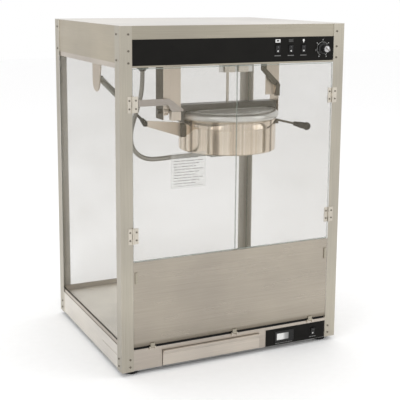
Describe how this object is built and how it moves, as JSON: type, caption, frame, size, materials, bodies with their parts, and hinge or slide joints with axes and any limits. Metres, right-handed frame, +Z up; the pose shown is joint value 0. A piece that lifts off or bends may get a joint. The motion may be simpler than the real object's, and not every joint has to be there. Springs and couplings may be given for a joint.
{
  "type": "popcorn machine",
  "caption": "Countertop glazed steel popcorn machine with tilting kettle, hinged glass doors, drop front and kernel drawer.",
  "frame": {"origin": "centre of the footprint on the ground", "axes": "+Z up, the doors and controls face -Y, +X to the viewer's right"},
  "size_m": [0.7536, 0.672, 1.041],
  "materials": {
    "brushed_steel": "brushed stainless sheet",
    "satin_steel": "satin stainless bracket steel",
    "polished_steel": "polished stainless",
    "cast_aluminium": "matte spun aluminium",
    "galvanised": "galvanised sheet",
    "hinge_steel": "nickel-plated small fittings",
    "conduit_steel": "ribbed armoured conduit",
    "motor_grey": "grey enamel",
    "black_panel": "black overlay on steel",
    "black_plastic": "black moulded plastic",
    "black_rubber": "black rubber",
    "clear_glass": "clear tempered glass",
    "lamp_glass": "frosted lamp glass",
    "paper": "printed paper card"
  },
  "bodies": {
    "cabinet": {"corner_posts": "brushed_steel", "rubber_feet": "black_rubber", "base_bottom": "galvanised", "base_front": "brushed_steel", "base_wrap": "brushed_steel", "deck": "brushed_steel", "deck_heater": "galvanised", "top_cover": "brushed_steel", "header_front": "brushed_steel", "header_wrap": "brushed_steel", "header_floor": "galvanised", "control_panel": "black_panel", "fixed_glass": "clear_glass", "glass_channels": "brushed_steel", "post_hinges": "hinge_steel", "door_catch": "hinge_steel", "panel_hinge_brackets": "hinge_steel", "drawer_runners": "galvanised", "lower_control_panel": "black_panel", "temperature_display": "black_plastic", "power_inlet": "black_plastic", "gear_motor": "motor_grey", "heat_lamp": "lamp_glass", "kettle_hangers": "satin_steel", "pivot_bearings": "hinge_steel", "conduit_arm": "satin_steel", "spring_bracket": "satin_steel", "conduit": "conduit_steel", "conduit_gland": "black_plastic", "cabinet_screws": "hinge_steel", "switch_housings": "black_plastic"},
    "door_left": {"door_glass_left": "clear_glass", "door_hinges_left": "hinge_steel", "instruction_label": "paper"},
    "door_right": {"door_glass_right": "clear_glass", "door_hinges_right": "hinge_steel"},
    "drop_front": {"drop_front": "brushed_steel", "drop_front_fittings": "hinge_steel"},
    "drawer": {"drawer_tray": "galvanised", "drawer_front": "brushed_steel"},
    "kettle": {"kettle_shell": "polished_steel", "kettle_pan": "polished_steel", "kettle_rim": "cast_aluminium", "kettle_heater": "motor_grey", "kettle_wire_box": "galvanised", "crossbar": "satin_steel", "strut_arm": "satin_steel", "handle_rod": "hinge_steel", "handle_grip": "black_plastic"},
    "lid_front": {"lid_front": "polished_steel"},
    "lid_rear": {"lid_rear": "polished_steel"},
    "stirrer": {"stirrer": "satin_steel"},
    "drive_claw": {"drive_claw": "hinge_steel"},
    "spring_cylinder": {"spring_cylinder": "satin_steel"},
    "spring_rod": {"spring_rod": "black_plastic"},
    "switch_motor": {"switch_motor": "black_plastic"},
    "switch_kettle_heat": {"switch_kettle_heat": "black_plastic"},
    "switch_light": {"switch_light": "black_plastic"},
    "switch_warmer": {"switch_warmer": "black_plastic"},
    "timer_knob": {"timer_knob": "black_plastic"}
  },
  "joints": [
    {"name": "door_left_hinge", "type": "hinge", "parent": "cabinet", "child": "door_left", "pos_m": [-0.3364, -0.313, 0.624], "axis": [0, 0, -1], "range_deg": [0, 110]},
    {"name": "door_right_hinge", "type": "hinge", "parent": "cabinet", "child": "door_right", "pos_m": [0.3364, -0.313, 0.624], "axis": [0, 0, 1], "range_deg": [0, 110]},
    {"name": "drop_front_hinge", "type": "hinge", "parent": "cabinet", "child": "drop_front", "pos_m": [0, -0.3115, 0.083], "axis": [1, 0, 0], "range_deg": [0, 90]},
    {"name": "drawer_slide", "type": "slide", "parent": "cabinet", "child": "drawer", "axis": [0, -1, 0], "range_m": [0, 0.3]},
    {"name": "kettle_tilt", "type": "hinge", "parent": "cabinet", "child": "kettle", "pos_m": [0.089, -0.07, 0.76], "axis": [1, 0, 0], "range_deg": [0, 90], "deforming": ["conduit"]},
    {"name": "lid_front_hinge", "type": "hinge", "parent": "kettle", "child": "lid_front", "pos_m": [0.089, -0.095, 0.7576], "axis": [-1, 0, 0], "range_deg": [0, 75]},
    {"name": "lid_rear_hinge", "type": "hinge", "parent": "kettle", "child": "lid_rear", "pos_m": [0.089, -0.045, 0.7576], "axis": [1, 0, 0], "range_deg": [0, 75]},
    {"name": "stirrer_spin", "type": "hinge", "parent": "kettle", "child": "stirrer", "pos_m": [0.089, -0.07, 0.79], "axis": [0, 0, 1], "continuous": true},
    {"name": "drive_claw_spin", "type": "hinge", "parent": "cabinet", "child": "drive_claw", "pos_m": [0.089, -0.07, 0.94], "axis": [0, 0, 1], "continuous": true},
    {"name": "spring_swing", "type": "hinge", "parent": "cabinet", "child": "spring_cylinder", "pos_m": [-0.233, 0.256, 0.837], "axis": [1, 0, 0], "range_deg": [0, 15]},
    {"name": "spring_stroke", "type": "slide", "parent": "spring_cylinder", "child": "spring_rod", "axis": [0, 0.9711, 0.2386], "range_m": [0, 0.085]},
    {"name": "switch_motor_rock", "type": "hinge", "parent": "cabinet", "child": "switch_motor", "pos_m": [0.136, -0.309, 0.965], "axis": [-1, 0, 0], "range_deg": [0, 12]},
    {"name": "switch_kettle_heat_rock", "type": "hinge", "parent": "cabinet", "child": "switch_kettle_heat", "pos_m": [0.182, -0.309, 0.965], "axis": [-1, 0, 0], "range_deg": [0, 12]},
    {"name": "switch_light_rock", "type": "hinge", "parent": "cabinet", "child": "switch_light", "pos_m": [0.227, -0.309, 0.965], "axis": [-1, 0, 0], "range_deg": [0, 12]},
    {"name": "switch_warmer_rock", "type": "hinge", "parent": "cabinet", "child": "switch_warmer", "pos_m": [0.29, -0.309, 0.042], "axis": [-1, 0, 0], "range_deg": [0, 12]},
    {"name": "timer_knob_turn", "type": "hinge", "parent": "cabinet", "child": "timer_knob", "pos_m": [0.297, -0.31, 0.963], "axis": [0, 1, 0], "range_deg": [0, 300]}
  ],
  "couplings": [
    {"joint": "drive_claw_spin", "follows": "stirrer_spin", "ratio": 1},
    {"joint": "spring_swing", "follows": "kettle_tilt", "ratio": 0.16},
    {"joint": "spring_stroke", "follows": "kettle_tilt", "m_per_rad": 0.05126}
  ]
}
